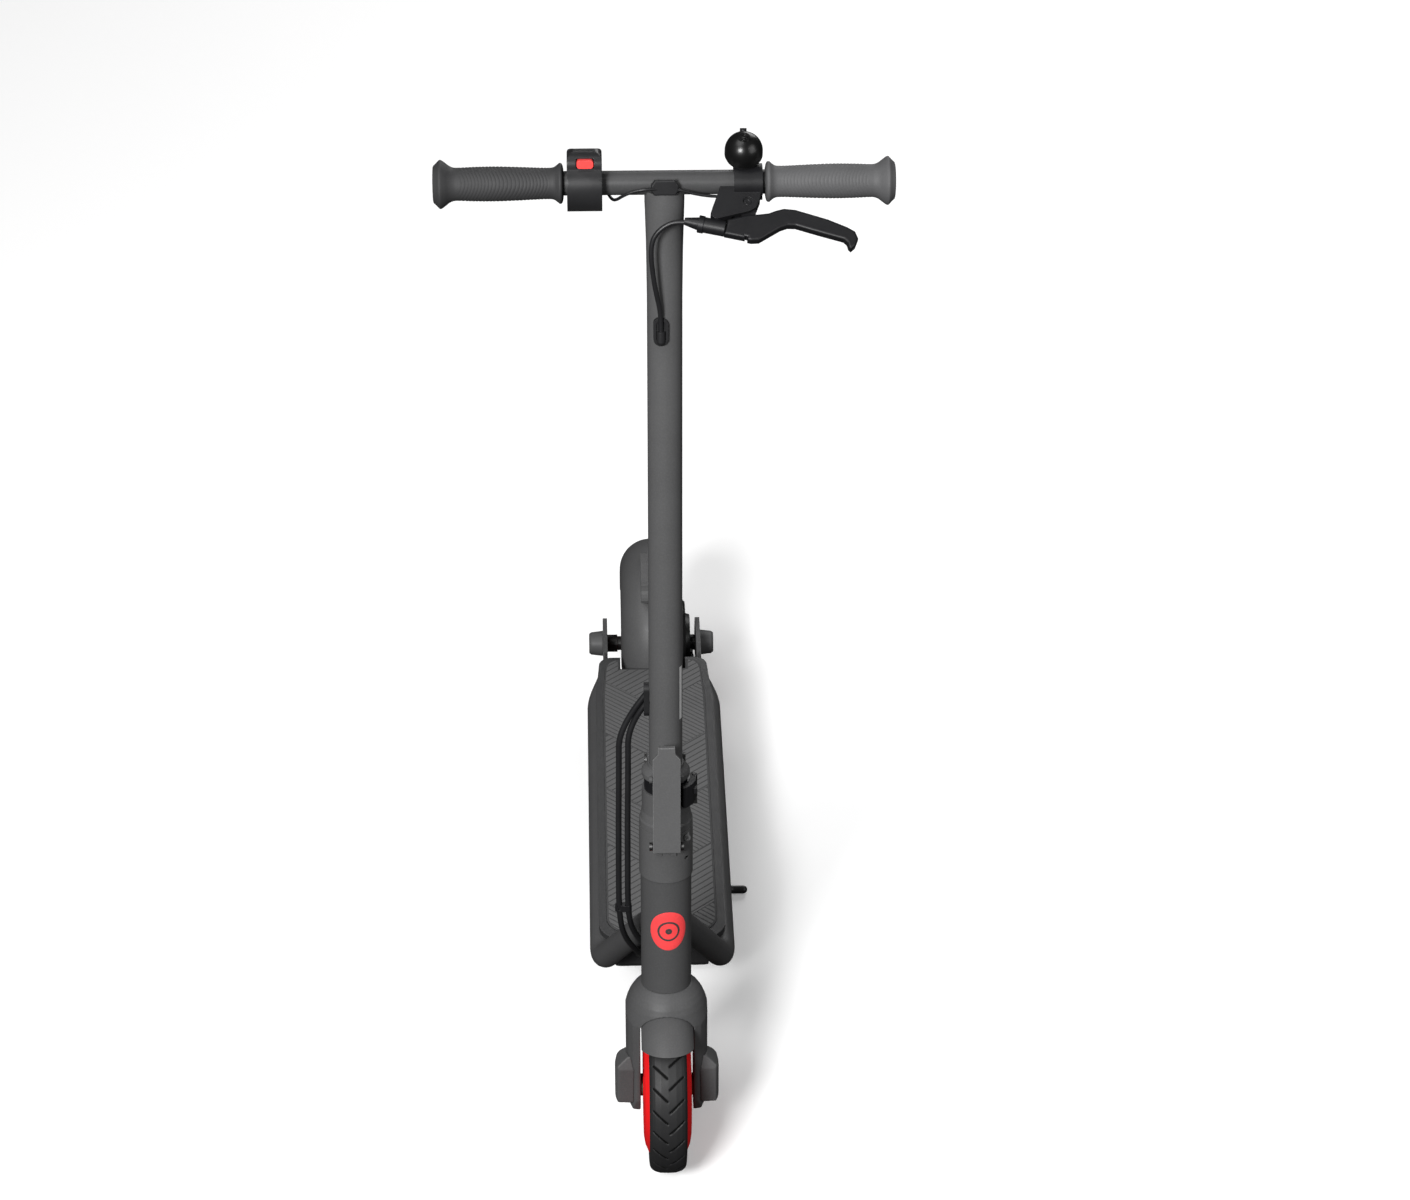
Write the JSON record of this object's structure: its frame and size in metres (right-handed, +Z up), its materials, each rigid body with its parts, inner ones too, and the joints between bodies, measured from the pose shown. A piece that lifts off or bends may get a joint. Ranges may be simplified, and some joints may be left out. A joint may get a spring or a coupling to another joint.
{
  "type": "electric kick scooter",
  "caption": "Folding electric kick scooter with small wheels, an under-deck battery, a twin-rail frame, a stem latch and bar controls.",
  "frame": {"origin": "on the ground plane, centred between the two wheels across and along the scooter's overall length", "axes": "+Z up, -Y towards the front wheel, +X towards the rider's left"},
  "size_m": [0.42, 0.9536, 1.1023],
  "materials": {
    "frame_paint": "satin",
    "fender_plastic": "satin",
    "black_plastic": "satin",
    "cover_plastic": "satin",
    "grip_rubber": "matte",
    "mat_rubber": "matte",
    "cord_rubber": "matte",
    "tyre_rubber": "matte",
    "red_paint": "satin",
    "red_plastic": "glossy",
    "latch_metal": "satin",
    "pin_steel": "brushed",
    "black_steel": "satin",
    "olive_steel": "satin",
    "cell_wrap": "satin",
    "winding_steel": "matte"
  },
  "bodies": {
    "frame": {"head_tube": "frame_paint", "head_bearings": "pin_steel", "main_tube_left": "frame_paint", "main_tube_right": "frame_paint", "dropout_left": "frame_paint", "dropout_right": "frame_paint", "deck_tray": "frame_paint", "deck_cover": "black_plastic", "deck_mat": "mat_rubber", "battery_pack": "cell_wrap", "motor_controller": "latch_metal", "charge_port": "black_plastic", "rear_fender": "fender_plastic", "stand_bracket": "frame_paint", "rear_axle": "pin_steel", "axle_caps": "cover_plastic", "brake_plate": "black_steel", "motor_stator": "winding_steel", "rear_brake_cable": "cord_rubber", "cables_lower": "cord_rubber", "cable_tie": "black_plastic"},
    "fork": {"fork": "frame_paint", "fork_cover_left": "cover_plastic", "fork_cover_right": "cover_plastic", "front_axle": "olive_steel", "front_fender": "fender_plastic", "folding_base": "frame_paint", "folding_seat": "black_plastic", "fold_hinge_pin": "pin_steel", "latch_pin": "pin_steel"},
    "front_wheel": {"front_tyre": "tyre_rubber", "front_rim": "red_paint", "front_bearings": "pin_steel"},
    "rear_wheel": {"rear_tyre": "tyre_rubber", "rear_hub": "red_paint"},
    "stem": {"stem_bracket": "frame_paint", "stem_tube": "frame_paint", "handlebar": "frame_paint", "grip_left": "grip_rubber", "grip_right": "grip_rubber", "throttle_housing": "black_plastic", "brake_perch": "black_plastic", "cable_adjuster": "black_plastic", "bell_base": "black_plastic", "bell_dome": "black_plastic", "bar_grommet": "cord_rubber", "stem_grommet": "cord_rubber", "side_gland": "cord_rubber", "cables_upper": "cord_rubber", "brake_hose": "cord_rubber", "control_wires": "cord_rubber"},
    "port_cap": {"port_cap": "cord_rubber"},
    "latch_lever": {"latch_lever": "latch_metal"},
    "safety_catch": {"safety_catch": "black_plastic"},
    "brake_lever": {"brake_lever": "black_steel"},
    "thumb_lever": {"thumb_lever": "black_plastic"},
    "power_button": {"power_button": "red_plastic"},
    "bell_striker": {"bell_striker": "black_steel"},
    "kickstand": {"kickstand": "black_steel"},
    "brake_arm": {"brake_arm": "black_steel"}
  },
  "joints": [
    {"name": "steer", "type": "hinge", "parent": "frame", "child": "fork", "pos_m": [0, -0.33997, 0.26566], "axis": [0, 0.1736, 0.9848], "range_deg": [-50, 50], "deforming": ["cables_lower"]},
    {"name": "front_wheel_spin", "type": "hinge", "parent": "fork", "child": "front_wheel", "pos_m": [0, -0.386, 0.091], "axis": [1, 0, 0], "continuous": true},
    {"name": "rear_wheel_spin", "type": "hinge", "parent": "frame", "child": "rear_wheel", "pos_m": [0, 0.366, 0.091], "axis": [1, 0, 0], "continuous": true},
    {"name": "fold", "type": "hinge", "parent": "fork", "child": "stem", "pos_m": [0, -0.2816, 0.44119], "axis": [-1, 0, 0], "range_deg": [0, 103.5], "deforming": ["cables_upper"]},
    {"name": "latch", "type": "hinge", "parent": "fork", "child": "latch_lever", "pos_m": [0, -0.35036, 0.38528], "axis": [1, 0, 0], "range_deg": [0, 78]},
    {"name": "safety", "type": "hinge", "parent": "fork", "child": "safety_catch", "pos_m": [0.028, -0.3075, 0.43256], "axis": [0, 0.1736, 0.9848], "range_deg": [0, 20], "stiffness_Nm_per_rad": 0.15},
    {"name": "brake_lever_pull", "type": "hinge", "parent": "stem", "child": "brake_lever", "pos_m": [0.0751, -0.22184, 1.04151], "axis": [0, -0.5, 0.866], "range_deg": [0, 17], "stiffness_Nm_per_rad": 2},
    {"name": "brake_arm_turn", "type": "hinge", "parent": "frame", "child": "brake_arm", "pos_m": [0.049, 0.35, 0.053], "axis": [1, 0, 0], "range_deg": [0, 8], "stiffness_Nm_per_rad": 0.5},
    {"name": "power_button_press", "type": "slide", "parent": "stem", "child": "power_button", "axis": [0, 0.9848, -0.1736], "range_m": [0, 0.0006], "stiffness_N_per_m": 150},
    {"name": "throttle", "type": "hinge", "parent": "stem", "child": "thumb_lever", "pos_m": [-0.0726, -0.18524, 1.03955], "axis": [-1, 0, 0], "range_deg": [0, 20], "stiffness_Nm_per_rad": 0.3},
    {"name": "bell_strike", "type": "hinge", "parent": "stem", "child": "bell_striker", "pos_m": [0.072, -0.17675, 1.08751], "axis": [-1, 0, 0], "range_deg": [0, 12], "stiffness_Nm_per_rad": 0.05},
    {"name": "kickstand_fold", "type": "hinge", "parent": "frame", "child": "kickstand", "pos_m": [0.062, -0.021, 0.08], "axis": [1, 0, 0], "range_deg": [0, 68]},
    {"name": "port_cap_swing", "type": "hinge", "parent": "frame", "child": "port_cap", "pos_m": [0, -0.1911, 0.1104], "axis": [-1, 0, 0], "range_deg": [0, 100]}
  ],
  "couplings": [
    {"joint": "brake_arm_turn", "follows": "brake_lever_pull", "ratio": 0.47}
  ]
}
